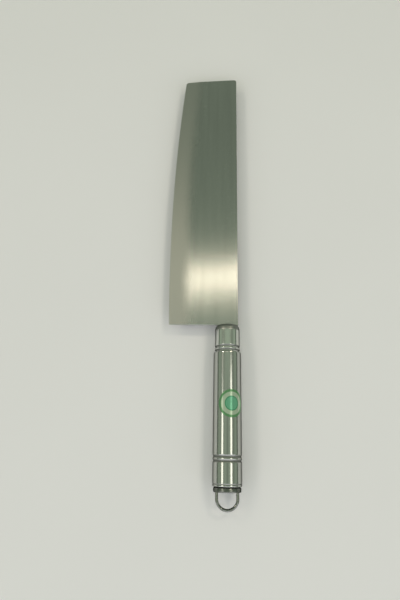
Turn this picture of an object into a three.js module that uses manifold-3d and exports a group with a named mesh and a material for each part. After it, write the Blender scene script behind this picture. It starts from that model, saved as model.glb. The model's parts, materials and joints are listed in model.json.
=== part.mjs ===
// Slicing kitchen knife with a tubular steel handle: a broad ground blade, a drawn ferrule, a grip tube,
// an end cap and a wire hanging loop that swings in the cap.
// Millimetres. The handle's axis runs along Y, the blade points to +Y, the spine is on the +X side and the
// cutting edge on the -X side. Pieces are drawn round the handle's axis, with Y = 0 at the blade's heel.

import * as THREE from "three";
import { mergeVertices } from "three/addons/utils/BufferGeometryUtils.js";
import Module from "manifold-3d";

const wasm = await Module();
wasm.setup();

// Blade
const bladeLength = 237.5; // heel to tip, along the spine
const tipSlant = 2.8; // how much shorter the cutting edge is than the spine
const bladeStock = 1.8; // thickness of the sheet
const spineRise = 8; // spine above the handle's axis
const bellyDepth = 45.5; // deepest point of the cutting edge below the handle's axis
const bellyStation = 72; // where that point lies, from the heel
const edgeRadius = 1750; // the cutting edge is one long arc
const grindWidth = 13.3; // ground band along the edge
const grindThickness = 0.6; // steel left where the ground band meets the edge bevel
const edgeBevelWidth = 1.2;
const edgeLand = 0.1; // flat left at the very edge
const tipSpineRadius = 2.5;
const tipEdgeRadius = 2;
const heelRadius = 0.8;

// Tang, which the blade carries into the handle
const tangWidth = 11;
const tangLength = 48;
const tangThickness = 1.4;
const tangEndRadius = 2;
const tangRoot = 6; // how far its sheet runs into the blade
const tangHoleRadius = 2;
const tangHoleCount = 2;
const tangHolePitch = 14;
const tangHoleEdge = 10; // last hole from the tang's end

// Handle
const gripDiameter = 20;
const gripWall = 0.7;
const gripLength = 90.3;
const lipRise = 0.6; // rounding of the tube's ends, across the wall
const lipLength = 1.4; // and along the tube
const sleeveGap = 0.2; // all round, between the tube's bore and what is pushed into it
const rollDepth = 0.5; // rolled ring grooves
const rollWidth = 2.5;
const rollPitch = 2.8; // between the two grooves of a pair
const frontRollInset = 1; // pair in the ferrule, from the tube's front end
const rearRollInset = 16; // pair in the tube, from its rear end
const lineDepth = 0.25; // turned line near the tube's rear end
const lineWidth = 1;
const lineInset = 1.5;

// Ferrule, a drawn cup that closes the front of the handle
const ferruleWall = 0.8;
const ferruleShown = 20.8; // length in front of the grip tube
const ferruleSkirt = 14; // length inside it
const ferruleShoulder = 4; // reach of the rounded front
const seatGap = 0.3; // between faces that seat on each other

// Core, cast round the tang and gripped by the ferrule's rolled rings
const coreTail = 8; // length past the tang's end
const coreChamfer = 2.5;

// End cap, a drawn cup pushed into the rear of the tube with its mouth outwards
const capWall = 0.6;
const capDepth = 12; // from the mouth to the cup's floor
const capCorner = 1.6;
const capRimLength = 2.7; // rim standing out of the tube
const capNeckLength = 0.8; // dark neck between tube and rim
const capNeckDepth = 0.3;
const capRimRise = 0.3; // rim beyond the cup's wall
const capRimRadius = 0.5;

// Hanging loop, one wire whose outturned feet swing in two holes of the cap
const wireDiameter = 2;
const footBend = 1.4;
const footGap = 0.15; // end of each foot short of the cap's outside
const legGap = 0.5; // between the legs and the cap's inside
const pivotInset = 4.5; // swing axis inside the cap's mouth
const pivotGap = 0.2; // all round a foot, in its hole
const loopReach = 12.1; // loop beyond the cap's mouth

// Round label on the grip
const labelDiameter = 19;
const labelThickness = 0.15;
const labelLift = 0.06; // adhesive under it
const labelStation = 58.1; // its centre behind the heel
const labelTurn = THREE.MathUtils.degToRad(16.5); // its centre round the grip, towards the spine

// Facets
const roundSides = 32;
const wireSides = 12;
const wireSteps = 60;
const rollSteps = 6;
const cornerSteps = 4;
const edgeSteps = 12;
const labelSteps = 40;

// Sizes that follow
const gripRadius = gripDiameter / 2;
const boreRadius = gripRadius - gripWall;
const sleeveRadius = boreRadius - sleeveGap;
const wireRadius = wireDiameter / 2;
const ferruleFront = -seatGap;
const gripFront = ferruleFront - ferruleShown;
const gripRear = gripFront - gripLength;
const capMouth = gripRear - capNeckLength - capRimLength;
const capBore = sleeveRadius - capWall;
const pivotY = capMouth + pivotInset;
const legOffset = capBore - legGap - wireRadius;
const loopEnd = capMouth - loopReach;
const cutReach = 5; // how far cutters run past what they cut

const steel = (color, roughness) => new THREE.MeshStandardMaterial({ color, roughness, metalness: 1 });
const plain = (color, roughness) => new THREE.MeshStandardMaterial({ color, roughness, metalness: 0 });
const bladeSteel = steel(0xb4b6ab, 0.32);
const ferruleSteel = steel(0xb9bbb0, 0.16);
const gripSteel = steel(0xb9bbb0, 0.16);
const capSteel = steel(0xb9bbb0, 0.2);
const wireSteel = steel(0xb2b5ac, 0.2);
const coreResin = plain(0x4a4640, 0.7);
const labelFilm = plain(0x2f9a63, 0.35);

// A closed three.js geometry as a solid that can be cut and joined.
function solidOf(geometry) {
  const bare = new THREE.BufferGeometry().setAttribute("position", geometry.getAttribute("position"));
  bare.setIndex(geometry.index);
  const merged = mergeVertices(bare, 1e-4);
  return new wasm.Manifold(
    new wasm.Mesh({
      numProp: 3,
      vertProperties: new Float32Array(merged.getAttribute("position").array),
      triVerts: new Uint32Array(merged.index.array),
    }),
  );
}

// A solid back as a three.js geometry.
function geometryOf(solid) {
  const { vertProperties, triVerts } = solid.getMesh();
  const geometry = new THREE.BufferGeometry();
  geometry.setAttribute("position", new THREE.BufferAttribute(vertProperties, 3));
  geometry.setIndex(new THREE.BufferAttribute(triVerts, 1));
  geometry.computeVertexNormals();
  return geometry;
}

function piece(name, geometry, material) {
  const mesh = new THREE.Mesh(geometry, material);
  mesh.name = name;
  return mesh;
}

// A flat outline in the XY plane as a sheet of that thickness, half above the plane and half below.
function sheet(shape, thickness, curveSegments) {
  const geometry = new THREE.ExtrudeGeometry(shape, { depth: thickness, bevelEnabled: false, curveSegments });
  return geometry.translate(0, 0, -thickness / 2);
}

// A closed solid through a row of convex rings that have the same number of points.
function loft(rings) {
  const count = rings[0].length;
  const last = (rings.length - 1) * count;
  const faces = [];
  for (let i = 0; i < last; i += count)
    for (let j = 0; j < count; j++) {
      const next = (j + 1) % count;
      faces.push(i + j, i + next, i + count + next, i + j, i + count + next, i + count + j);
    }
  for (let j = 1; j + 1 < count; j++) faces.push(0, j + 1, j, last, last + j, last + j + 1);
  return new THREE.BufferGeometry().setFromPoints(rings.flat()).setIndex(faces);
}

// A point of a lathe profile.
const at = (radius, y) => new THREE.Vector2(radius, y);

// Points of a rounded corner in a lathe profile, which leaves one line and meets the next with no kink.
function corner(from, bend, to) {
  return new THREE.QuadraticBezierCurve(at(...from), at(...bend), at(...to)).getPoints(cornerSteps);
}

// Points of a ring groove in a wall that runs towards -Y: a smooth dip centred on station y.
function ringGroove(radius, y, width, depth) {
  const points = [];
  for (let i = 0; i <= rollSteps; i++) {
    const share = i / rollSteps;
    const dip = depth * Math.sin(Math.PI * share) ** 2;
    points.push(at(radius - dip, y + width * (0.5 - share)));
  }
  return points;
}

// A profile of points (radius, station), drawn down its outside and back up its inside, turned round the
// axis. The profile ends on the axis, or closes on itself where closed is true.
function turned(profile, closed) {
  const points = closed ? [...profile, profile[0].clone()] : profile;
  return new THREE.LatheGeometry(points.toReversed(), roundSides);
}

// Depth of the cutting edge at a station, as an x coordinate.
const edgeX = (y) => edgeRadius - bellyDepth - Math.sqrt(edgeRadius ** 2 - (y - bellyStation) ** 2);

// The blade's outline: heel, cutting edge, tip and spine, with its corners eased.
function bladeOutline() {
  const edgeEnd = new THREE.Vector2(edgeX(bladeLength - tipSlant), bladeLength - tipSlant);
  const spineEnd = new THREE.Vector2(spineRise, bladeLength);
  const alongTip = spineEnd.clone().sub(edgeEnd).normalize();
  const tipStart = edgeEnd.clone().addScaledVector(alongTip, tipEdgeRadius);
  const tipStop = spineEnd.clone().addScaledVector(alongTip, -tipSpineRadius);
  const centre = new THREE.Vector2(edgeRadius - bellyDepth, bellyStation);
  const angleAt = (y) => Math.PI - Math.asin((y - bellyStation) / edgeRadius);

  const shape = new THREE.Shape();
  shape.moveTo(spineRise, 0);
  shape.lineTo(spineRise, bladeLength - tipSpineRadius);
  shape.quadraticCurveTo(spineEnd.x, spineEnd.y, tipStop.x, tipStop.y);
  shape.lineTo(tipStart.x, tipStart.y);
  const arcStart = edgeEnd.y - tipEdgeRadius;
  shape.quadraticCurveTo(edgeEnd.x, edgeEnd.y, edgeX(arcStart), arcStart);
  shape.absarc(centre.x, centre.y, edgeRadius, angleAt(arcStart), angleAt(heelRadius), false);
  shape.quadraticCurveTo(edgeX(0), 0, edgeX(0) + heelRadius, 0);
  return shape;
}

// A wedge that grinds one face of the blade along the whole edge: it leaves height inner above the blade's
// middle plane at that width from the edge, and height outer at the edge itself.
function grindCutter(width, inner, outer, side) {
  const rise = (inner - outer) / width;
  const rings = [];
  for (let i = 0; i <= edgeSteps; i++) {
    const y = -cutReach + ((bladeLength + 2 * cutReach) * i) / edgeSteps;
    const edge = edgeX(y);
    const ring = [
      [edge + width, inner],
      [edge - cutReach, outer - rise * cutReach],
      [edge - cutReach, bladeStock],
      [edge + width, bladeStock],
    ].map(([x, z]) => new THREE.Vector3(x, y, side * z));
    rings.push(side > 0 ? ring : ring.reverse());
  }
  return solidOf(loft(rings));
}

// The tang with its keying holes. Grown by a margin, it is the space that a cast core leaves for it.
function tangSolid(margin) {
  const half = tangWidth / 2 + margin;
  const end = -tangLength - margin;
  const round = tangEndRadius + margin;
  const shape = new THREE.Shape();
  shape.moveTo(half, tangRoot);
  shape.lineTo(-half, tangRoot);
  shape.lineTo(-half, end + round);
  shape.absarc(round - half, end + round, round, Math.PI, 1.5 * Math.PI, false);
  shape.absarc(half - round, end + round, round, 1.5 * Math.PI, 2 * Math.PI, false);
  for (let i = 0; i < tangHoleCount; i++) {
    const y = -tangLength + tangHoleEdge + i * tangHolePitch;
    const hole = new THREE.Path();
    hole.absarc(0, y, tangHoleRadius - margin, 0, 2 * Math.PI, true);
    shape.holes.push(hole);
  }
  return solidOf(sheet(shape, tangThickness + 2 * margin, 2 * cornerSteps));
}

function blade() {
  let solid = solidOf(sheet(bladeOutline(), bladeStock, edgeSteps));
  const grindRise = (bladeStock - grindThickness) / 2 / (grindWidth - edgeBevelWidth);
  const grindAtEdge = grindThickness / 2 - grindRise * edgeBevelWidth;
  for (const side of [1, -1]) {
    solid = solid.subtract(grindCutter(grindWidth, bladeStock / 2, grindAtEdge, side));
    solid = solid.subtract(grindCutter(edgeBevelWidth, grindThickness / 2, edgeLand / 2, side));
  }
  return geometryOf(solid.add(tangSolid(0)));
}

function ferrule() {
  const inner = sleeveRadius - ferruleWall;
  const skirtEnd = gripFront - ferruleSkirt;
  const innerShoulder = ferruleShoulder - ferruleWall;
  const innerFront = ferruleFront - ferruleWall;
  const rearRing = gripFront + frontRollInset;
  const pair = [rearRing + rollPitch, rearRing];
  const rings = (radius) => pair.flatMap((y) => ringGroove(radius, y, rollWidth, rollDepth));
  const profile = [
    at(0, ferruleFront),
    ...corner(
      [sleeveRadius - ferruleShoulder, ferruleFront],
      [sleeveRadius, ferruleFront],
      [sleeveRadius, ferruleFront - ferruleShoulder],
    ),
    ...rings(sleeveRadius),
    at(sleeveRadius, skirtEnd),
    at(inner, skirtEnd),
    ...rings(inner).reverse(),
    ...corner([inner, innerFront - innerShoulder], [inner, innerFront], [inner - innerShoulder, innerFront]),
    at(0, innerFront),
  ];
  const slot = new THREE.BoxGeometry(tangWidth + 2 * seatGap, 2 * cutReach, tangThickness + 2 * seatGap);
  return geometryOf(solidOf(turned(profile, false)).subtract(solidOf(slot)));
}

function tangCore() {
  const radius = sleeveRadius - ferruleWall - rollDepth - seatGap;
  const front = ferruleFront - ferruleWall - seatGap;
  const rear = -tangLength - coreTail;
  const profile = [
    at(0, front),
    at(radius - coreChamfer, front),
    at(radius, front - coreChamfer),
    at(radius, rear + coreChamfer),
    at(radius - coreChamfer, rear),
    at(0, rear),
  ];
  return geometryOf(solidOf(turned(profile, false)).subtract(tangSolid(seatGap)));
}

function gripTube() {
  const pair = [gripRear + rearRollInset + rollPitch, gripRear + rearRollInset];
  const rolls = (radius) => pair.flatMap((y) => ringGroove(radius, y, rollWidth, rollDepth));
  const lip = gripRadius - lipRise;
  const profile = [
    at(boreRadius, gripFront),
    ...corner([lip, gripFront], [gripRadius, gripFront], [gripRadius, gripFront - lipLength]),
    ...rolls(gripRadius),
    ...ringGroove(gripRadius, gripRear + lineInset, lineWidth, lineDepth),
    ...corner([gripRadius, gripRear + lipRise], [gripRadius, gripRear], [lip, gripRear]),
    at(boreRadius, gripRear),
    ...rolls(boreRadius).reverse(),
  ];
  return turned(profile, true);
}

function endCap() {
  const rim = sleeveRadius + capRimRise;
  const floor = capMouth + capDepth;
  const inside = floor - capWall;
  const innerCorner = capCorner - capWall;
  const neckY = gripRear - capNeckLength / 2;
  const rimTop = gripRear - capNeckLength;
  const profile = [
    at(0, floor),
    ...corner([sleeveRadius - capCorner, floor], [sleeveRadius, floor], [sleeveRadius, floor - capCorner]),
    at(sleeveRadius, gripRear),
    at(sleeveRadius - capNeckDepth, neckY),
    ...corner([sleeveRadius, rimTop], [rim, rimTop], [rim, rimTop - capRimRadius]),
    ...corner([rim, capMouth + capRimRadius], [rim, capMouth], [rim - capRimRadius, capMouth]),
    at(capBore + capRimRadius / 2, capMouth),
    at(capBore, capMouth + capRimRadius),
    ...corner([capBore, inside - innerCorner], [capBore, inside], [capBore - innerCorner, inside]),
    at(0, inside),
  ];
  const pivotHole = new THREE.CylinderGeometry(
    wireRadius + pivotGap,
    wireRadius + pivotGap,
    gripDiameter,
    2 * wireSides,
  );
  pivotHole.rotateZ(Math.PI / 2).translate(0, pivotY, 0);
  return geometryOf(solidOf(turned(profile, false)).subtract(solidOf(pivotHole)));
}

// A path drawn in the XY plane, as a curve in space.
class FlatCurve extends THREE.Curve {
  constructor(path) {
    super();
    this.path = path;
  }

  getPoint(t, target = new THREE.Vector3()) {
    const { x, y } = this.path.getPoint(t);
    return target.set(x, y, 0);
  }
}

function hangingLoop() {
  const foot = sleeveRadius - footGap;
  const bow = loopEnd + wireRadius + legOffset;
  const wire = new THREE.Path();
  wire.moveTo(-foot, pivotY);
  wire.lineTo(-legOffset - footBend, pivotY);
  wire.quadraticCurveTo(-legOffset, pivotY, -legOffset, pivotY - footBend);
  wire.lineTo(-legOffset, bow);
  wire.absarc(0, bow, legOffset, Math.PI, 2 * Math.PI, false);
  wire.lineTo(legOffset, pivotY - footBend);
  wire.quadraticCurveTo(legOffset, pivotY, legOffset + footBend, pivotY);
  wire.lineTo(foot, pivotY);

  const section = new THREE.Shape();
  section.absarc(0, 0, wireRadius, 0, 2 * Math.PI, false);
  return new THREE.ExtrudeGeometry(section, {
    extrudePath: new FlatCurve(wire),
    steps: wireSteps,
    curveSegments: wireSides / 2, // a circle gets two sides for each
  });
}

// A round label wrapped on the grip: a thin shell cut by a disc that is narrowed by the wrap.
function label() {
  const inside = gripRadius + labelLift;
  const outside = inside + labelThickness;
  const half = labelDiameter / 2;
  const wrapped = [];
  for (let i = 0; i < labelSteps; i++) {
    const angle = (2 * Math.PI * i) / labelSteps;
    const across = half * Math.cos(angle);
    wrapped.push(new THREE.Vector2(outside * Math.sin(across / outside), half * Math.sin(angle)));
  }
  const outline = new THREE.Shape(wrapped);
  const disc = new THREE.ExtrudeGeometry(outline, { depth: gripDiameter, bevelEnabled: false });
  const reach = half + cutReach;
  const wall = [at(outside, reach), at(outside, -reach), at(inside, -reach), at(inside, reach)];
  return geometryOf(solidOf(turned(wall, true)).intersect(solidOf(disc)));
}

const knife = new THREE.Group();
knife.add(
  piece("blade", blade(), bladeSteel),
  piece("ferrule", ferrule(), ferruleSteel),
  piece("tang_core", tangCore(), coreResin),
  piece("grip_tube", gripTube(), gripSteel),
  piece("end_cap", endCap(), capSteel),
  piece("hanging_loop", hangingLoop(), wireSteel),
);
const roundLabel = piece("label", label(), labelFilm);
roundLabel.position.y = -labelStation;
roundLabel.rotation.y = labelTurn;
knife.add(roundLabel);

// The finished part lies on its side, and its origin is on the table under the middle of the knife.
knife.position.set((bellyDepth - gripRadius) / 2, -(bladeLength + loopEnd) / 2, gripRadius);
const part = new THREE.Group();
part.add(knife);

export default part;
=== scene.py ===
"""Looks of a slicing kitchen knife with a tubular steel handle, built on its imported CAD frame.

Metres, in the frame's axes: the handle runs along Y, the blade points to +Y and its spine is on the +X side.
Every steel piece has a UV map named brush, whose U runs across the brushing and V along it, in metres. The
label's map of that name is measured from its centre.
"""

import json
import math

import bmesh
import bpy
from mathutils import Matrix, Vector


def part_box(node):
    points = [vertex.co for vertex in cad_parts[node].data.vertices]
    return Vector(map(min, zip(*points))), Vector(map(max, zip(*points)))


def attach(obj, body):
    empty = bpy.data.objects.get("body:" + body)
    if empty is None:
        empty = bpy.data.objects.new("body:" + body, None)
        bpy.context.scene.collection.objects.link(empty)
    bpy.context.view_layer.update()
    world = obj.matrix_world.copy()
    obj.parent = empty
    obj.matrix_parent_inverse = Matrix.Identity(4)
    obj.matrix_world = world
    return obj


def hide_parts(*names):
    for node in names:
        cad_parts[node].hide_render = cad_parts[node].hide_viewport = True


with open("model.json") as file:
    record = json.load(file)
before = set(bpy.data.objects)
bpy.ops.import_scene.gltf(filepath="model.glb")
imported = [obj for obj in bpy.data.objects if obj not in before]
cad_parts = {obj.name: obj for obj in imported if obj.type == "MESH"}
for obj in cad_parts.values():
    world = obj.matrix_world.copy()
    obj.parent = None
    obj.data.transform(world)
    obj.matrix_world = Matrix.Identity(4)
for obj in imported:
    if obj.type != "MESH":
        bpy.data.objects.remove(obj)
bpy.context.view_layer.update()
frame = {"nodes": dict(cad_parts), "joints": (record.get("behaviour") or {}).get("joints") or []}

MM = 0.001

# Names that the meshes and the materials share
BRUSH = "brush"
EDGE_DISTANCE = "edge_distance"
DULL_SHADE = "dull_shade"

# Places that the frame gives
grip_low, grip_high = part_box("grip_tube")
ferrule_low, ferrule_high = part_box("ferrule")
cap_low, cap_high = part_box("end_cap")
loop_low, loop_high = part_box("hanging_loop")
blade_low, blade_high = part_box("blade")
label_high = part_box("label")[1]
AXIS_X = (grip_low.x + grip_high.x) / 2
AXIS_Z = (grip_low.z + grip_high.z) / 2
GRIP_RADIUS = (grip_high.x - grip_low.x) / 2
SLEEVE_RADIUS = (ferrule_high.x - ferrule_low.x) / 2
RIM_RADIUS = (cap_high.x - cap_low.x) / 2
WIRE_RADIUS = (loop_high.z - loop_low.z) / 2
PIVOT_Y = frame["joints"][0]["pos_m"][1]

# Sizes that its boxes don't give
SEAT_GAP = 0.3 * MM
HEEL_Y = ferrule_high.y + SEAT_GAP
BLADE_LENGTH = 237.5 * MM
TIP_SLANT = 2.8 * MM
BELLY_STATION = 72 * MM
EDGE_RADIUS = 1750 * MM
GRIND_WIDTH = 13.3 * MM
GRIND_THICKNESS = 0.6 * MM
EDGE_BEVEL = 1.2 * MM
EDGE_LAND = 0.1 * MM
TIP_SPINE_RADIUS = 2.5 * MM
TIP_EDGE_RADIUS = 2 * MM
HEEL_RADIUS = 0.8 * MM
RIM_EASE = 0.15 * MM  # eased rim of the sheet
TANG_HALF = 5.5 * MM
TANG_THICKNESS = 1.4 * MM
GRIP_WALL = 0.7 * MM
LIP_RISE = 0.6 * MM
LIP_LENGTH = 1.4 * MM
ROLL_DEPTH = 0.5 * MM
ROLL_WIDTH = 2.5 * MM
ROLL_PITCH = 2.8 * MM
FRONT_ROLL_INSET = 1 * MM
REAR_ROLL_INSET = 16 * MM
LINE_DEPTH = 0.25 * MM
LINE_WIDTH = 1 * MM
LINE_INSET = 1.5 * MM
FERRULE_WALL = 0.8 * MM
FERRULE_SHOULDER = 4 * MM
SHOULDER_FADE = 1 * MM  # behind the shoulder, over which its painted shade and roughness fade
CAP_WALL = 0.6 * MM
CAP_CORNER = 1.6 * MM
CAP_NECK_LENGTH = 0.8 * MM
CAP_NECK_DEPTH = 0.3 * MM
CAP_RIM_RADIUS = 0.5 * MM
CAP_ROLL_LENGTH = 1.3 * MM  # along the rim, of its rolled corner at the mouth
PIVOT_GAP = 0.2 * MM
LEG_GAP = 0.5 * MM
FOOT_BEND = 1.4 * MM
FOOT_END_SHARE = 0.8  # of the wire's radius, at its eased ends
LABEL_RADIUS = 9.5 * MM
LABEL_STATION = 58.1 * MM
LABEL_TURN = math.radians(16.5)
LABEL_THICKNESS = 0.15 * MM

# Fineness of the meshes
TURN_SIDES = 160
CORNER_STEPS = 10
ROLL_STEPS = 16
NEAR_RING = 0.15 * MM  # ring of points beside each end of a turned flat
BLADE_ROWS = 72
ROUND_COLUMNS = 7  # on each round corner of the blade
GRIND_COLUMNS = (4 * MM, 7 * MM, 10 * MM)  # from the edge
MIDDLE_COLUMNS = (0.2, 0.4, 0.6, 0.8)  # shares of the way from the ground band to the tang
BEVEL_ROOM = 0.05 * MM  # left free on both sides of the bevel's column
SPINE_ROOM = 0.01 * MM  # least room between the columns along the spine
WIRE_SIDES = 32
WIRE_STEP = 0.25 * MM
LABEL_RINGS = 14
LABEL_SIDES = 96
ON_AXIS = 1e-4 * MM  # a radius up to this is a point on the axis
TURNED_CREASE = 32  # degrees, above which an edge stays crisp
WIRE_CREASE = 50
LABEL_CREASE = 40

# Steel
BLADE_STEEL = (0.58, 0.59, 0.565)
FERRULE_STEEL = (0.7, 0.715, 0.68)
GRIP_STEEL = (0.545, 0.555, 0.53)
# The cap's and the wire's steel are much darker than the rest, standing in for the shade round them: painted
# shade
CAP_STEEL = (0.22, 0.23, 0.21)
WIRE_STEEL = (0.26, 0.27, 0.25)
POLISH_GRAZING_SHADE = 0.1  # painted shade: how much of its mirroring polished steel keeps at grazing angles, set low to stand for dark surroundings
FINE_LENGTH = 90  # of the fine streaks, in their own widths
BROAD_WIDTH = 25  # of the broad streaks, in widths of the fine ones
BROAD_LENGTH = 600  # in the same widths
RELIEF_DEPTH = 0.01 * MM
NOISE_RANGE = (0.25, 0.75)  # which holds nearly all values of a noise

# Grinding along the edge
GROUND_STEEL = (0.66, 0.67, 0.64)
GROUND_ROUGHNESS = 0.75
GROUND_COVER = (21.5 * MM, 5 * MM)  # from the edge, where its scratches start and where they cover the steel
SCRATCHES_ACROSS = 20000  # per metre
SCRATCHES_ALONG = 400
SCRATCH_BORDER = (-0.1, 0.1)  # depths between which a scratch sets in

# Dull parts of the handle: rougher, and darkened with painted shade
PAINTED_SHADE_STEEL = (0.075, 0.08, 0.072)
DULL_ROUGHNESS = 0.5
FRONT_GROOVE_DULL_SHADE = 0.85
FRONT_GROOVE_LEAN = 0.6  # below 1, its dullest line, darkest with painted shade, lies in front of the groove's middle
FRONT_GROOVE_FOCUS = 3  # above 1, it is drawn in round that line
REAR_GROOVE_DULL_SHADE = 0.7
LINE_DULL_SHADE = 0.5
SHOULDER_DULL_SHADE = 0.65
RIM_DULL_SHADE = 0.25

# The other materials, each colour as its darkest and its palest tone
RESIN_TONES = ((0.05, 0.045, 0.04), (0.1, 0.09, 0.08))
RESIN_GRAIN = 900  # per metre
FLOOR_TONES = ((0.81, 0.8, 0.81), (0.84, 0.83, 0.84))
FLOOR_GRAIN = 6
DISC_TONES = ((0.13, 0.42, 0.25), (0.19, 0.5, 0.32))
BORDER_TONES = ((0.05, 0.27, 0.13), (0.08, 0.32, 0.17))
RING_TONES = ((0.42, 0.53, 0.38), (0.48, 0.58, 0.44))
MARGIN_TONES = ((0.1, 0.27, 0.11), (0.15, 0.34, 0.16))
PRINT_BLUR = 0.1 * MM
MOTTLE_GRAIN = 1800

# Where each ring of the label's print starts, as a share of the radius, and its tones
LABEL_PRINT = ((0.46, BORDER_TONES), (0.53, RING_TONES), (0.82, MARGIN_TONES))

# A Mix node has sockets for every kind of data: the two values and the result
MIX_SOCKETS = {"FLOAT": (2, 3, 0), "RGBA": (6, 7, 2)}

# The photograph's camera, from the heel on the handle's axis
EYE = (-10.06 * MM, -93.59 * MM, 317.88 * MM)
AIM = (-20.98 * MM, 20.11 * MM, 0)
CAMERA_ROLL = math.radians(-4.5)
FOCAL_SHARE = 440 / 600  # focal length over the picture's long side
SENSOR = 36  # millimetres
CLIP_START = 0.01

# The room: how bright it is at each height of the view, from level to straight up
ROOM_LEVELS = (
    (0, 0.11),
    (0.12, 0.16),
    (0.3, 0.42),
    (0.45, 0.39),
    (0.6, 0.31),
    (0.7, 0.24),
    (0.8, 0.28),
    (0.88, 0.35),
    (0.95, 0.43),
    (0.98, 0.45),
    (1, 0.27),
)
ROOM_TINT = (0.84, 1, 0.77)
FLOOR_HALF = 20
LAMP_HEIGHT = 1.6
HANDLE_MIDDLE = (0, -66 * MM, 0)  # what the lamps face, from the heel on the handle's axis
BLADE_BAND = (-10 * MM, 39 * MM, 0)
BAND_TWIST = math.radians(9)
WARM = (1, 0.96, 0.85)
WARMER = (1, 0.88, 0.71)
COOL = (0.95, 0.9, 1)


def place(x, y, z):
    """A point given from the heel on the handle's axis, in the frame."""
    return Vector((AXIS_X + x, HEEL_Y + y, AXIS_Z + z))


def add_object(name, data):
    """A new object in the scene."""
    added = bpy.data.objects.new(name, data)
    bpy.context.scene.collection.objects.link(added)
    return added


# Materials


def new_material(name):
    """A node material and its principled shader."""
    material = bpy.data.materials.new(name)
    material.use_nodes = True
    shader = material.node_tree.nodes["Principled BSDF"]
    return material, shader


def add_node(material, kind, **settings):
    """A new node of a material or a world, with its settings."""
    node = material.node_tree.nodes.new(kind)
    for key, value in settings.items():
        setattr(node, key, value)
    return node


def feed(material, socket, value):
    """Links a node's output to a socket, or sets the socket to a plain value."""
    if isinstance(value, bpy.types.NodeSocket):
        material.node_tree.links.new(value, socket)
    else:
        socket.default_value = value


def opaque(colour):
    """A colour as the sockets take it."""
    return (*colour, 1)


def mix(material, kind, share, first, second):
    """Runs from the first value to the second with the share."""
    first_socket, second_socket, result = MIX_SOCKETS[kind]
    node = add_node(material, "ShaderNodeMix", data_type=kind)
    feed(material, node.inputs[0], share)
    feed(material, node.inputs[first_socket], first)
    feed(material, node.inputs[second_socket], second)
    return node.outputs[result]


def tones(material, noise, dark, pale):
    """A colour that runs from a dark tone to a pale one with a noise."""
    return mix(material, "RGBA", noise, opaque(dark), opaque(pale))


def map_range(material, value, source, target=(0, 1)):
    """The value, moved from the source range to the target range and held at its ends."""
    node = add_node(material, "ShaderNodeMapRange")
    for name, number in zip(("From Min", "From Max", "To Min", "To Max"), (*source, *target)):
        feed(material, node.inputs[name], number)
    feed(material, node.inputs["Value"], value)
    return node.outputs["Result"]


def calculate(material, operation, *values):
    """The result of a Math node."""
    node = add_node(material, "ShaderNodeMath", operation=operation)
    for socket, value in zip(node.inputs, values):
        feed(material, socket, value)
    return node.outputs["Value"]


def add_noise(material, vector, scale, detail):
    """Noise over a vector."""
    noise = add_node(material, "ShaderNodeTexNoise")
    feed(material, noise.inputs["Vector"], vector)
    feed(material, noise.inputs["Scale"], scale)
    feed(material, noise.inputs["Detail"], detail)
    return noise.outputs["Fac"]


def brush_noise(material, across, along, detail):
    """Noise in streaks along the brushing: so many per metre across it and along it."""
    uv = add_node(material, "ShaderNodeUVMap", uv_map=BRUSH)
    stretch = add_node(material, "ShaderNodeVectorMath", operation="MULTIPLY")
    feed(material, stretch.inputs[0], uv.outputs["UV"])
    feed(material, stretch.inputs[1], (across, along, 1))
    return add_noise(material, stretch.outputs["Vector"], 1, detail)


def grain_noise(material, scale, detail):
    """Even noise in the object's own space: so many grains per metre."""
    coordinates = add_node(material, "ShaderNodeTexCoord")
    return add_noise(material, coordinates.outputs["Object"], scale, detail)


def mesh_mark(material, name):
    """A number that the mesh carries at each point."""
    return add_node(material, "ShaderNodeAttribute", attribute_name=name).outputs["Fac"]


def ground(material, colour, roughness):
    """The colour and roughness with the grinding along the edge: fine scratches, paler and rougher than the
    steel, which cover it at the edge and thin out away from there."""
    cover = map_range(material, mesh_mark(material, EDGE_DISTANCE), GROUND_COVER)
    scratches = brush_noise(material, SCRATCHES_ACROSS, SCRATCHES_ALONG, detail=2)
    depth = calculate(material, "SUBTRACT", cover, map_range(material, scratches, NOISE_RANGE))
    scratched = map_range(material, depth, SCRATCH_BORDER)
    paler = mix(material, "RGBA", scratched, colour, opaque(GROUND_STEEL))
    rougher = mix(material, "FLOAT", scratched, roughness, GROUND_ROUGHNESS)
    return paler, rougher


def dulled_and_shaded(material, colour, roughness):
    """The colour and roughness, rougher and darkened with painted shade where the mesh is marked: in
    grooves, joints and corners."""
    dull_shade = mesh_mark(material, DULL_SHADE)
    darker = mix(material, "RGBA", dull_shade, colour, opaque(PAINTED_SHADE_STEEL))
    rougher = calculate(material, "MULTIPLY_ADD", dull_shade, DULL_ROUGHNESS, roughness)
    return darker, rougher


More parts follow.
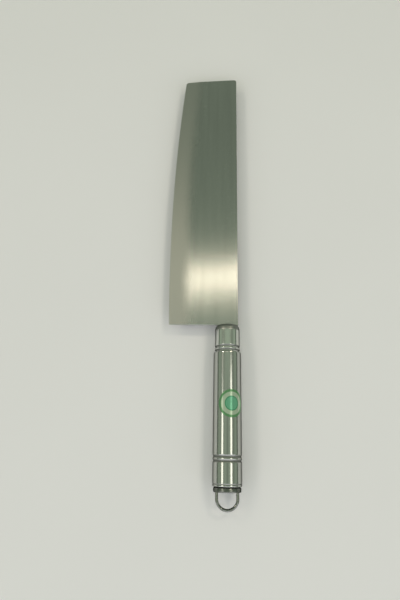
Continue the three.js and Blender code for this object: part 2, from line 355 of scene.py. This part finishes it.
def steel(name, colour, shade, roughness, spread, anisotropy, edge_shade_tint, grain, bump, treatment):
    """Brushed or polished steel: fine streaks in colour, roughness and relief, and stretched highlights. The
    shade is how dark its dark streaks are, and the grain is in fine streaks per metre."""
    material, shader = new_material(name)
    shader.inputs["Metallic"].default_value = 1
    shader.inputs["Anisotropic"].default_value = anisotropy
    # A specular tint below 1 darkens reflections at grazing angles: painted shade
    shader.inputs["Specular Tint"].default_value = opaque((edge_shade_tint, edge_shade_tint, edge_shade_tint))
    fine = brush_noise(material, grain, grain / FINE_LENGTH, detail=4)
    broad = brush_noise(material, grain / BROAD_WIDTH, grain / BROAD_LENGTH, detail=3)
    dark = tuple(channel * shade for channel in colour)
    streaked = tones(material, broad, dark, colour)
    rough = map_range(material, fine, NOISE_RANGE, (roughness - spread, roughness + spread))
    streaked, rough = treatment(material, streaked, rough)
    feed(material, shader.inputs["Base Color"], streaked)
    feed(material, shader.inputs["Roughness"], rough)
    relief = add_node(material, "ShaderNodeBump")
    feed(material, relief.inputs["Strength"], bump)
    feed(material, relief.inputs["Distance"], RELIEF_DEPTH)
    feed(material, relief.inputs["Height"], fine)
    feed(material, shader.inputs["Normal"], relief.outputs["Normal"])
    tangent = add_node(material, "ShaderNodeTangent", direction_type="UV_MAP", uv_map=BRUSH)
    feed(material, shader.inputs["Tangent"], tangent.outputs["Tangent"])
    return material


def satin(name, colour):
    """Steel brushed along the blade and ground along its edge."""
    return steel(
        name,
        colour,
        shade=0.76,
        roughness=0.25,
        spread=0.006,
        anisotropy=1,
        edge_shade_tint=1,
        grain=6000,
        bump=0.015,
        treatment=ground,
    )


def polish(name, colour, shade, roughness):
    """Polished steel with a faint trace of the polishing, rougher and darkened with painted shade where the
    mesh is marked, and with painted shade at grazing angles.
    """
    return steel(
        name,
        colour,
        shade,
        roughness,
        spread=0.01,
        anisotropy=0,
        edge_shade_tint=POLISH_GRAZING_SHADE,
        grain=9000,
        bump=0.01,
        treatment=dulled_and_shaded,
    )


def resin(name):
    """Cast resin, with a grainy break-up of its colour."""
    material, shader = new_material(name)
    shader.inputs["Roughness"].default_value = 0.6
    colour = tones(material, grain_noise(material, RESIN_GRAIN, detail=5), *RESIN_TONES)
    feed(material, shader.inputs["Base Color"], colour)
    return material


def label_film(name):
    """Printed foil: a plain green disc in a pale ring, with a green margin."""
    material, shader = new_material(name)
    shader.inputs["Metallic"].default_value = 0.4
    shader.inputs["Roughness"].default_value = 0.2
    shader.inputs["Coat Weight"].default_value = 0.3
    shader.inputs["Coat Roughness"].default_value = 0.1
    uv = add_node(material, "ShaderNodeUVMap", uv_map=BRUSH)
    reach = add_node(material, "ShaderNodeVectorMath", operation="LENGTH")
    feed(material, reach.inputs[0], uv.outputs["UV"])
    mottle = brush_noise(material, MOTTLE_GRAIN, MOTTLE_GRAIN, detail=5)
    printed = tones(material, mottle, *DISC_TONES)
    for share, ring_tones in LABEL_PRINT:
        start = LABEL_RADIUS * share
        outside = map_range(material, reach.outputs["Value"], (start - PRINT_BLUR, start + PRINT_BLUR))
        printed = mix(material, "RGBA", outside, printed, tones(material, mottle, *ring_tones))
    feed(material, shader.inputs["Base Color"], printed)
    return material


def floor_material(name):
    """A pale matt floor with a faint cloudiness."""
    material, shader = new_material(name)
    shader.inputs["Roughness"].default_value = 0.9
    colour = tones(material, grain_noise(material, FLOOR_GRAIN, detail=2), *FLOOR_TONES)
    feed(material, shader.inputs["Base Color"], colour)
    return material


# Meshes


def make_piece(name, points, faces, uvs, material):
    """A mesh object with the brush map. uvs holds one pair for each corner of each face, in order."""
    mesh = bpy.data.meshes.new(name)
    mesh.from_pydata(points, [], faces)
    layer = mesh.uv_layers.new(name=BRUSH)
    layer.data.foreach_set("uv", [value for pair in uvs for value in pair])
    mesh.materials.append(material)
    mesh.validate()
    return add_object(name, mesh)


def mark_points(piece, name, values):
    """Gives each point of a piece's mesh a number that its material reads."""
    marks = piece.data.attributes.new(name, "FLOAT", "POINT")
    marks.data.foreach_set("value", values)


def smooth(piece, crease):
    """Smooth shading, with edges sharper than the crease left crisp."""
    piece.data.shade_smooth()
    piece.data.set_sharp_from_angle(angle=math.radians(crease))


def finish_piece(piece, body, node):
    """Ties a piece to its body and hides the CAD node that it stands for."""
    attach(piece, body)
    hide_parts(node)


def corner(start, bend, end, *dull_shade):
    """Points of a rounded corner in a profile, with a dull mark of painted shade and roughness, or without.
    """
    points = []
    for i in range(CORNER_STEPS + 1):
        t = i / CORNER_STEPS
        weights = ((1 - t) ** 2, 2 * t * (1 - t), t**2)
        point = (sum(w * p[k] for w, p in zip(weights, (start, bend, end))) for k in (0, 1))
        points.append((*point, *dull_shade))
    return points


def ring_groove(radius, y, width, depth, dull_shade, lean=1, focus=1):
    """Points of a smooth ring groove, in a wall that runs towards -Y, with a dull mark of painted shade and
    roughness at its bottom, or in front of there where lean is below 1. Focus draws it in."""
    points = []
    for i in range(ROLL_STEPS + 1):
        share = i / ROLL_STEPS
        dip = math.sin(math.pi * share) ** 2
        mark = dull_shade * math.sin(math.pi * share**lean) ** focus
        points.append((radius - depth * dip, y + width * (0.5 - share), mark))
    return points


def rolled_pair(radius, rear_y, *dull_shade):
    """Points of two rolled grooves, the rear one centred on rear_y."""
    points = []
    for y in (rear_y + ROLL_PITCH, rear_y):
        points += ring_groove(radius, y, ROLL_WIDTH, ROLL_DEPTH, *dull_shade)
    return points


def with_near_rings(profile):
    """The profile with a point near each end of its long flats, so that their shading stays flat."""
    points = []
    for start, end in zip(profile, profile[1:]):
        points.append(start)
        length = math.dist(start[:2], end[:2])
        if length > 4 * NEAR_RING:
            for share in (NEAR_RING / length, 1 - NEAR_RING / length):
                points.append(tuple(a + (b - a) * share for a, b in zip(start, end)))
    return points + profile[-1:]


def turned(name, profile, closed, material):
    """A profile of points (radius, y), some with a dull mark of painted shade and roughness, turned round
    the handle's axis. It ends on the axis or closes on itself."""
    profile = with_near_rings(profile)
    rows = profile + profile[:1] if closed else profile
    travel = [0]
    for start, end in zip(rows, rows[1:]):
        travel.append(travel[-1] + math.dist(start[:2], end[:2]))
    points = []
    rings = []
    dull_shade = []
    for radius, y, *dull in profile:
        count = TURN_SIDES if radius > ON_AXIS else 1
        rings.append([len(points) + k for k in range(count)])
        dull_shade += (dull or [0]) * count
        for k in range(count):
            turn = 2 * math.pi * k / TURN_SIDES
            points.append((AXIS_X + radius * math.sin(turn), y, AXIS_Z + radius * math.cos(turn)))
    if closed:
        rings.append(rings[0])
    faces = []
    uvs = []
    for i in range(len(rings) - 1):
        for k in range(TURN_SIDES):
            corners = [(i, k), (i + 1, k), (i + 1, k + 1), (i, k + 1)]
            if len(rings[i]) == 1:
                corners.pop(3)
            elif len(rings[i + 1]) == 1:
                corners.pop(2)
            faces.append([rings[row][side % len(rings[row])] for row, side in corners])
            uvs += [(travel[row], 2 * math.pi * GRIP_RADIUS * side / TURN_SIDES) for row, side in corners]
    piece = make_piece(name, points, faces, uvs, material)
    mark_points(piece, DULL_SHADE, dull_shade)
    smooth(piece, TURNED_CREASE)
    return piece


def cut(piece, cutter):
    """Takes a cutter's shape out of a turned piece for good."""
    modifier = piece.modifiers.new("cut", "BOOLEAN")
    modifier.operation = "DIFFERENCE"
    modifier.solver = "EXACT"
    modifier.object = cutter
    evaluated = piece.evaluated_get(bpy.context.evaluated_depsgraph_get())
    mesh = bpy.data.meshes.new_from_object(evaluated)
    piece.modifiers.clear()
    old, piece.data = piece.data, mesh
    mesh.name = old.name
    bpy.data.meshes.remove(old)
    bpy.data.objects.remove(cutter)
    smooth(piece, TURNED_CREASE)


def make_cutter(shape, transform):
    """A cutter from a bmesh shape that is moved into its place."""
    shape.transform(transform)
    mesh = bpy.data.meshes.new("cutter")
    shape.to_mesh(mesh)
    shape.free()
    return add_object("cutter", mesh)


def cutter_box(centre, size):
    """A cutter in the shape of a box."""
    shape = bmesh.new()
    bmesh.ops.create_cube(shape, size=1)
    return make_cutter(shape, Matrix.Translation(centre) @ Matrix.Diagonal((*size, 1)))


def cutter_rod(centre, radius, length):
    """A cutter in the shape of a round rod along X."""
    shape = bmesh.new()
    bmesh.ops.create_cone(
        shape, cap_ends=True, segments=WIRE_SIDES, radius1=radius, radius2=radius, depth=length
    )
    return make_cutter(shape, Matrix.Translation(centre) @ Matrix.Rotation(math.pi / 2, 4, "Y"))


# Blade


def edge_x(y):
    """Where the cutting edge lies at a station from the heel."""
    return blade_low.x + EDGE_RADIUS - math.sqrt(EDGE_RADIUS**2 - (y - BELLY_STATION) ** 2)


def rounded(distance, radius):
    """How far a round corner draws the outline in, at a distance from the corner's other side."""
    if distance >= radius:
        return 0
    return radius - math.sqrt(radius**2 - (radius - distance) ** 2)


def blade_columns():
    """The blade's lines along its length: those that follow the edge, in distance from it, those between, as
    shares of the way, and those that follow the spine, in distance from it."""
    round_steps = [1 - math.cos(math.pi / 2 * i / ROUND_COLUMNS) for i in range(ROUND_COLUMNS + 1)]
    near_edge = {TIP_EDGE_RADIUS * s for s in round_steps} | {HEEL_RADIUS * s for s in round_steps[1:]}
    by_edge = [d for d in near_edge if abs(d - EDGE_BEVEL) > BEVEL_ROOM]
    by_edge += [EDGE_BEVEL, *GRIND_COLUMNS, GRIND_WIDTH]
    near_spine = {TIP_SPINE_RADIUS * s for s in round_steps} | {RIM_EASE}
    near_spine |= {blade_high.x - AXIS_X + offset for offset in (-TANG_HALF, 0, TANG_HALF)}
    by_spine = []
    for distance in sorted(near_spine, reverse=True):
        if not by_spine or by_spine[-1] - distance > SPINE_ROOM:
            by_spine.append(distance)
    return sorted(by_edge), MIDDLE_COLUMNS, by_spine


def blade_half_height(distance):
    """Half of the blade's thickness at a distance from the cutting edge."""
    if distance < EDGE_BEVEL:
        low, high, share = EDGE_LAND / 2, GRIND_THICKNESS / 2, distance / EDGE_BEVEL
    else:
        full = (blade_high.z - blade_low.z) / 2
        share = min(1, (distance - EDGE_BEVEL) / (GRIND_WIDTH - EDGE_BEVEL))
        low, high = GRIND_THICKNESS / 2, full
    return low + (high - low) * share


def blade_grid():
    """Rows of points over one side of the blade, as (x, y, half height), from the heel to the tip."""
    by_edge, between, by_spine = blade_columns()
    count = len(by_edge) + len(between) + len(by_spine)
    spine = blade_high.x

    def column_x(j, y):
        """Where a line along the blade lies at a station from the heel."""
        if j < len(by_edge):
            return edge_x(y) + by_edge[j]
        j -= len(by_edge)
        if j < len(between):
            start = edge_x(y) + by_edge[-1]
            return start + (spine - by_spine[0] - start) * between[j]
        return spine - by_spine[j - len(between)]

    tip_edge = BLADE_LENGTH - TIP_SLANT
    starts = []
    stops = []
    for j in range(count):
        from_edge = column_x(j, tip_edge) - edge_x(tip_edge)
        from_spine = spine - column_x(j, tip_edge)
        share = from_edge / (from_edge + from_spine)
        drawn_in = rounded(from_edge, TIP_EDGE_RADIUS) + rounded(from_spine, TIP_SPINE_RADIUS)
        stops.append(tip_edge + TIP_SLANT * share - drawn_in)
        starts.append(rounded(column_x(j, 0) - edge_x(0), HEEL_RADIUS))
    rows = []
    for i in range(BLADE_ROWS + 3):
        row = []
        for j in range(count):
            first, last = starts[j] + RIM_EASE, stops[j] - RIM_EASE
            y = first + (last - first) * (i - 1) / BLADE_ROWS
            y = min(max(y, starts[j]), stops[j])
            x = column_x(j, y)
            half = blade_half_height(x - edge_x(y))
            on_rim = i in (0, BLADE_ROWS + 2) or j == count - 1
            if on_rim:
                half = max(half - RIM_EASE, min(half, EDGE_LAND / 2))
            row.append((x, HEEL_Y + y, half))
        rows.append(row)
    return rows


def make_blade(material):
    """The blade as one closed mesh: two ground sides, the rim between them and the tang at the heel."""
    rows = blade_grid()
    count = len(rows[0])
    points = []
    for side in (1, -1):
        points += [(x, y, AXIS_Z + side * half) for row in rows for x, y, half in row]
    below = len(rows) * count

    def index(i, j, side):
        """The number of the point in a row and a column, on one side."""
        return i * count + j + (0 if side > 0 else below)

    faces = []
    for side in (1, -1):
        for i in range(len(rows) - 1):
            for j in range(count - 1):
                corners = ((i, j), (i, j + 1), (i + 1, j + 1), (i + 1, j))
                quad = [index(row, column, side) for row, column in corners]
                faces.append(quad if side > 0 else quad[::-1])

    last = len(rows) - 1
    for i in range(last):
        for j, flip in ((0, False), (count - 1, True)):
            quad = [index(i, j, -1), index(i, j, 1), index(i + 1, j, 1), index(i + 1, j, -1)]
            faces.append(quad[::-1] if flip else quad)
    for j in range(count - 1):
        corners = ((j, 1), (j + 1, 1), (j + 1, -1), (j, -1))
        faces.append([index(last, column, side) for column, side in corners])

    add_heel(rows[0], points, faces, index)
    uvs = []
    for face in faces:
        for point in face:
            x, y, z = points[point]
            uvs.append((x + z, y))
    piece = make_piece("blade_ground", points, faces, uvs, material)
    mark_points(piece, EDGE_DISTANCE, [x - edge_x(y - HEEL_Y) for x, y, z in points])
    return piece


def add_heel(heel, points, faces, index):
    """Closes the blade's mesh at its heel row, with the tang standing out of it."""
    columns = range(len(heel))
    tang_sides = (AXIS_X - TANG_HALF, AXIS_X + TANG_HALF)
    left, right = (min(columns, key=lambda j: abs(heel[j][0] - side)) for side in tang_sides)
    roots = {}
    ends = {}
    for j in range(left, right + 1):
        x, heel_y, _ = heel[j]
        for side in (1, -1):
            for row, y in ((roots, heel_y), (ends, blade_low.y)):
                row[j, side] = len(points)
                points.append((x, y, AXIS_Z + side * TANG_THICKNESS / 2))

    for j in columns[:-1]:
        after = j + 1
        top = [index(0, after, 1), index(0, j, 1)]
        bottom = [index(0, j, -1), index(0, after, -1)]
        if left <= j < right:
            faces.append(top + [roots[j, 1], roots[after, 1]])
            faces.append(bottom + [roots[after, -1], roots[j, -1]])
            for side in (1, -1):
                wall = [ends[j, side], ends[after, side], roots[after, side], roots[j, side]]
                faces.append(wall if side > 0 else wall[::-1])
            faces.append([ends[after, 1], ends[j, 1], ends[j, -1], ends[after, -1]])
        elif after == left:
            faces.append(top + bottom + [roots[left, -1], roots[left, 1]])
        elif j == right:
            faces.append(top + [roots[right, 1], roots[right, -1]] + bottom)
        else:
            faces.append(top + bottom)
    for j, flip in ((left, False), (right, True)):
        wall = [roots[j, 1], roots[j, -1], ends[j, -1], ends[j, 1]]
        faces.append(wall[::-1] if flip else wall)


# Handle


def make_ferrule(material):
    """The drawn cup in front of the grip, with two rolled rings and a slot for the tang."""
    front = ferrule_high.y
    skirt_end = ferrule_low.y
    shoulder = front - FERRULE_SHOULDER
    inner = SLEEVE_RADIUS - FERRULE_WALL
    inner_front = front - FERRULE_WALL
    inner_shoulder = FERRULE_SHOULDER - FERRULE_WALL
    rear_ring = grip_high.y + FRONT_ROLL_INSET
    # The rolled rings get painted shade and more roughness
    dull_shade = (FRONT_GROOVE_DULL_SHADE, FRONT_GROOVE_LEAN, FRONT_GROOVE_FOCUS)
    profile = [(0, front)]
    # The shoulder's corner gets painted shade and more roughness
    profile += corner(
        (SLEEVE_RADIUS - FERRULE_SHOULDER, front),
        (SLEEVE_RADIUS, front),
        (SLEEVE_RADIUS, shoulder),
        SHOULDER_DULL_SHADE,
    )
    profile += [(SLEEVE_RADIUS, shoulder - SHOULDER_FADE, 0)]
    profile += rolled_pair(SLEEVE_RADIUS, rear_ring, *dull_shade)
    profile += [(SLEEVE_RADIUS, skirt_end), (inner, skirt_end)]
    profile += rolled_pair(inner, rear_ring, *dull_shade)[::-1]
    profile += corner(
        (inner, inner_front - inner_shoulder),
        (inner, inner_front),
        (inner - inner_shoulder, inner_front),
    )
    profile += [(0, inner_front)]
    piece = turned("ferrule_drawn", profile, False, material)
    slot_size = (2 * (TANG_HALF + SEAT_GAP), 4 * FERRULE_WALL, TANG_THICKNESS + 2 * SEAT_GAP)
    cut(piece, cutter_box(Vector((AXIS_X, front, AXIS_Z)), slot_size))
    return piece


def make_grip(material):
    """The polished tube, with a rounded lip, a pair of rolled grooves and a turned line."""
    front, rear = grip_high.y, grip_low.y
    bore = GRIP_RADIUS - GRIP_WALL
    lip = GRIP_RADIUS - LIP_RISE
    rear_ring = rear + REAR_ROLL_INSET
    profile = [(bore, front)]
    profile += corner((lip, front), (GRIP_RADIUS, front), (GRIP_RADIUS, front - LIP_LENGTH))
    # The grooves, the turned line and the bore get painted shade and more roughness
    profile += rolled_pair(GRIP_RADIUS, rear_ring, REAR_GROOVE_DULL_SHADE)
    profile += ring_groove(GRIP_RADIUS, rear + LINE_INSET, LINE_WIDTH, LINE_DEPTH, LINE_DULL_SHADE)
    profile += corner((GRIP_RADIUS, rear + LIP_RISE), (GRIP_RADIUS, rear), (lip, rear))
    profile += [(bore, rear, 1)]
    profile += rolled_pair(bore, rear_ring, REAR_GROOVE_DULL_SHADE)[::-1]
    return turned("grip_polished", profile, True, material)


def make_cap(material):
    """The drawn cup in the tube's rear end, with its rim outside and the loop's pivot holes in its wall."""
    floor, mouth = cap_high.y, cap_low.y
    inside = floor - CAP_WALL
    bore = SLEEVE_RADIUS - CAP_WALL
    rear = grip_low.y
    rim_top = rear - CAP_NECK_LENGTH
    inner_corner = CAP_CORNER - CAP_WALL
    profile = [(0, floor)]
    profile += corner(
        (SLEEVE_RADIUS - CAP_CORNER, floor),
        (SLEEVE_RADIUS, floor),
        (SLEEVE_RADIUS, floor - CAP_CORNER),
    )
    # The neck between the tube and the rim gets painted shade and more roughness
    profile += [
        (SLEEVE_RADIUS, rear, 1),
        (SLEEVE_RADIUS - CAP_NECK_DEPTH, rear - CAP_NECK_LENGTH / 2, 1),
        (SLEEVE_RADIUS, rim_top, 1),
    ]
    # The rim gets painted shade and more roughness, more of both at the mouth
    profile += corner(
        (SLEEVE_RADIUS, rim_top),
        (RIM_RADIUS, rim_top),
        (RIM_RADIUS, rim_top - CAP_RIM_RADIUS),
        RIM_DULL_SHADE / 2,
    )
    profile += corner(
        (RIM_RADIUS, mouth + CAP_ROLL_LENGTH),
        (RIM_RADIUS, mouth),
        (RIM_RADIUS - CAP_RIM_RADIUS, mouth),
        RIM_DULL_SHADE,
    )
    profile += corner((bore + CAP_RIM_RADIUS / 2, mouth), (bore, mouth), (bore, mouth + CAP_RIM_RADIUS))
    profile += corner((bore, inside - inner_corner), (bore, inside), (bore - inner_corner, inside))
    profile += [(0, inside)]
    piece = turned("end_cap_drawn", profile, False, material)
    hole_centre = Vector((AXIS_X, PIVOT_Y, AXIS_Z))
    cut(piece, cutter_rod(hole_centre, WIRE_RADIUS + PIVOT_GAP, 4 * GRIP_RADIUS))
    return piece


def loop_path():
    """Points along the loop's wire, from one foot round the bow to the other, from the handle's axis."""
    foot = (loop_high.x - loop_low.x) / 2
    leg = SLEEVE_RADIUS - CAP_WALL - LEG_GAP - WIRE_RADIUS
    bow = loop_low.y + WIRE_RADIUS + leg
    bend_end = PIVOT_Y - FOOT_BEND
    half = []
    for i in range(round((foot - leg - FOOT_BEND) / WIRE_STEP)):
        half.append((foot - i * WIRE_STEP, PIVOT_Y))
    half += corner((leg + FOOT_BEND, PIVOT_Y), (leg, PIVOT_Y), (leg, bend_end))
    leg_steps = round((bend_end - bow) / WIRE_STEP)
    half += [(leg, bend_end + (bow - bend_end) * i / leg_steps) for i in range(1, leg_steps)]
    bow_steps = round(leg * math.pi / 2 / WIRE_STEP)
    for i in range(bow_steps + 1):
        turn = math.pi / 2 * i / bow_steps
        half.append((leg * math.cos(turn), bow - leg * math.sin(turn)))
    return half + [(-x, y) for x, y in half[-2::-1]]


def make_loop(material):
    """The hanging loop: one round wire swept along its path, with eased ends."""
    path = loop_path()
    last = len(path) - 1
    points = []
    for i, (x, y) in enumerate(path):
        before, after = path[max(i - 1, 0)], path[min(i + 1, last)]
        along = Vector((after[0] - before[0], after[1] - before[1], 0)).normalized()
        across = Vector((-along.y, along.x, 0))
        centre = Vector((AXIS_X + x, y, AXIS_Z))
        radius = WIRE_RADIUS if 0 < i < last else FOOT_END_SHARE * WIRE_RADIUS
        for k in range(WIRE_SIDES):
            turn = 2 * math.pi * k / WIRE_SIDES
            rise = Vector((0, 0, radius * math.sin(turn)))
            points.append(centre + across * radius * math.cos(turn) + rise)
    girth = 2 * math.pi * WIRE_RADIUS
    faces = []
    uvs = []
    for i in range(last):
        for k in range(WIRE_SIDES):
            corners = [(i, k), (i, k + 1), (i + 1, k + 1), (i + 1, k)]
            faces.append([row * WIRE_SIDES + side % WIRE_SIDES for row, side in corners])
            uvs += [(girth * side / WIRE_SIDES, row * WIRE_STEP) for row, side in corners]
    for row, order in ((0, -1), (last, 1)):
        faces.append([row * WIRE_SIDES + k for k in range(WIRE_SIDES)][::order])
        uvs += [(0, 0)] * WIRE_SIDES
    piece = make_piece("hanging_loop_wire", points, faces, uvs, material)
    smooth(piece, WIRE_CREASE)
    return piece


def make_label(material):
    """The round label, wrapped on the grip: a thin closed shell of rings."""
    outside = label_high.z - AXIS_Z
    inside = outside - LABEL_THICKNESS
    eased = LABEL_RADIUS - LABEL_THICKNESS
    shells = [(outside, eased * i / LABEL_RINGS) for i in range(LABEL_RINGS + 1)]
    shells += [(outside - LABEL_THICKNESS / 3, LABEL_RADIUS), (inside, LABEL_RADIUS)]
    shells += [(inside, LABEL_RADIUS * i / LABEL_RINGS) for i in reversed(range(LABEL_RINGS))]
    points = []
    flat = []
    rings = []
    for radius, reach in shells:
        count = LABEL_SIDES if reach > 0 else 1
        rings.append([len(points) + k for k in range(count)])
        for k in range(count):
            turn = 2 * math.pi * k / LABEL_SIDES
            round_grip, along = reach * math.cos(turn), reach * math.sin(turn)
            angle = LABEL_TURN + round_grip / outside
            y = HEEL_Y - LABEL_STATION + along
            points.append((AXIS_X + radius * math.sin(angle), y, AXIS_Z + radius * math.cos(angle)))
            flat.append((round_grip, along))
    faces = []
    for inner, outer in zip(rings, rings[1:]):
        for k in range(LABEL_SIDES):
            corners = [inner[k % len(inner)], outer[k % len(outer)], outer[(k + 1) % len(outer)]]
            if len(inner) > 1 and len(outer) > 1:
                corners.append(inner[(k + 1) % len(inner)])
            elif len(outer) == 1:
                corners[2] = inner[(k + 1) % len(inner)]
            faces.append(corners)
    uvs = [flat[point] for face in faces for point in face]
    piece = make_piece("label_dot", points, faces, uvs, material)
    smooth(piece, LABEL_CREASE)
    return piece


# Scene


def make_camera():
    """The photograph's camera."""
    camera = add_object("camera", bpy.data.cameras.new("camera"))
    camera.data.sensor_width = SENSOR
    camera.data.lens = SENSOR * FOCAL_SHARE
    camera.data.clip_start = CLIP_START
    eye, aim = place(*EYE), place(*AIM)
    turn = (aim - eye).to_track_quat("-Z", "Y").to_matrix().to_4x4() @ Matrix.Rotation(CAMERA_ROLL, 4, "Z")
    camera.matrix_world = Matrix.Translation(eye) @ turn
    bpy.context.scene.camera = camera


def make_lamp(name, target, slopes, size, radiance, colour, twist=0):
    """A softbox that faces the target, with its width across the knife and its length along it, or twisted
    from that. The slopes are metres along X and Y for each metre up."""
    width, length = size
    data = bpy.data.lights.new(name, "AREA")
    data.shape = "RECTANGLE"
    data.size = width
    data.size_y = length
    data.energy = math.pi * radiance * width * length
    data.color = colour
    away = Vector((*slopes, 1))
    side = Vector((0, 1, 0)).cross(away).normalized()
    turn = Matrix((side, away.cross(side).normalized(), away.normalized())).transposed().to_4x4()
    turn @= Matrix.Rotation(twist, 4, "Z")
    lamp = add_object(name, data)
    lamp.matrix_world = Matrix.Translation(place(*target) + LAMP_HEIGHT * away) @ turn


def make_lamps():
    """Long lamps that draw the two lines on the handle, far ones that draw the band on the blade, and wide
    fills behind the camera."""
    make_lamp("lamp_left", HANDLE_MIDDLE, (-0.87, -0.12), (0.44, 0.96), 2.1, WARM)
    make_lamp("lamp_right", HANDLE_MIDDLE, (0.58, -0.08), (0.4, 1.04), 2, WARM)
    make_lamp("lamp_left_end", HANDLE_MIDDLE, (-0.87, 0.27), (0.44, 0.29), 0.3, WARM)
    make_lamp("lamp_far_left", BLADE_BAND, (-0.87, 0.511), (0.36, 0.12), 24, WARMER)
    make_lamp("lamp_far_right", BLADE_BAND, (0.58, 0.487), (0.34, 0.14), 22, WARMER)
    make_lamp("lamp_far", BLADE_BAND, (-0.15, 0.406), (1.1, 0.07), 2.5, WARMER, BAND_TWIST)
    make_lamp("fill_left", HANDLE_MIDDLE, (-1.2, -1.25), (2.4, 2.2), 1.3, COOL)
    make_lamp("fill_right", HANDLE_MIDDLE, (1.2, -1.25), (2.4, 2.2), 1.3, COOL)
    make_lamp("fill_back", HANDLE_MIDDLE, (0, -1.4), (1.6, 2.2), 1.3, COOL)


def make_world():
    """A dim room with darker walls low down."""
    world = bpy.data.worlds.new("studio")
    bpy.context.scene.world = world
    world.use_nodes = True
    background = world.node_tree.nodes["Background"]
    coordinates = add_node(world, "ShaderNodeTexCoord")
    split = add_node(world, "ShaderNodeSeparateXYZ")
    ramp = add_node(world, "ShaderNodeValToRGB")
    stops = ramp.color_ramp.elements
    while len(stops) < len(ROOM_LEVELS):
        stops.new(1)
    for stop, (height, level) in zip(stops, ROOM_LEVELS):
        stop.position = height
        stop.color = opaque(channel * level for channel in ROOM_TINT)
    feed(world, split.inputs[0], coordinates.outputs["Generated"])
    feed(world, ramp.inputs["Fac"], split.outputs["Z"])
    feed(world, background.inputs["Color"], ramp.outputs["Color"])


def make_floor():
    """The pale floor that the knife lies on."""
    mesh = bpy.data.meshes.new("floor")
    signs = ((-1, -1), (1, -1), (1, 1), (-1, 1))
    corners = [(FLOOR_HALF * x, FLOOR_HALF * y, 0) for x, y in signs]
    mesh.from_pydata(corners, [], [(0, 1, 2, 3)])
    mesh.materials.append(floor_material("floor_pale"))
    floor = add_object("floor", mesh)


make_camera()
make_world()
make_floor()
make_lamps()

blade_satin = satin("blade_satin", BLADE_STEEL)
ferrule_polish = polish("ferrule_polish", FERRULE_STEEL, shade=0.97, roughness=0.1)
grip_polish = polish("grip_polish", GRIP_STEEL, shade=0.97, roughness=0.15)
cap_polish = polish("cap_polish", CAP_STEEL, shade=0.95, roughness=0.15)
wire_bright = polish("wire_bright", WIRE_STEEL, shade=0.94, roughness=0.16)

finish_piece(make_blade(blade_satin), "knife", "blade")
finish_piece(make_ferrule(ferrule_polish), "knife", "ferrule")
finish_piece(make_grip(grip_polish), "knife", "grip_tube")
finish_piece(make_cap(cap_polish), "knife", "end_cap")
finish_piece(make_loop(wire_bright), "loop", "hanging_loop")
finish_piece(make_label(label_film("label_print")), "knife", "label")
core = frame["nodes"]["tang_core"]
core.data.materials.clear()
core.data.materials.append(resin("core_cast"))

bpy.context.scene.view_settings.view_transform = "Standard"
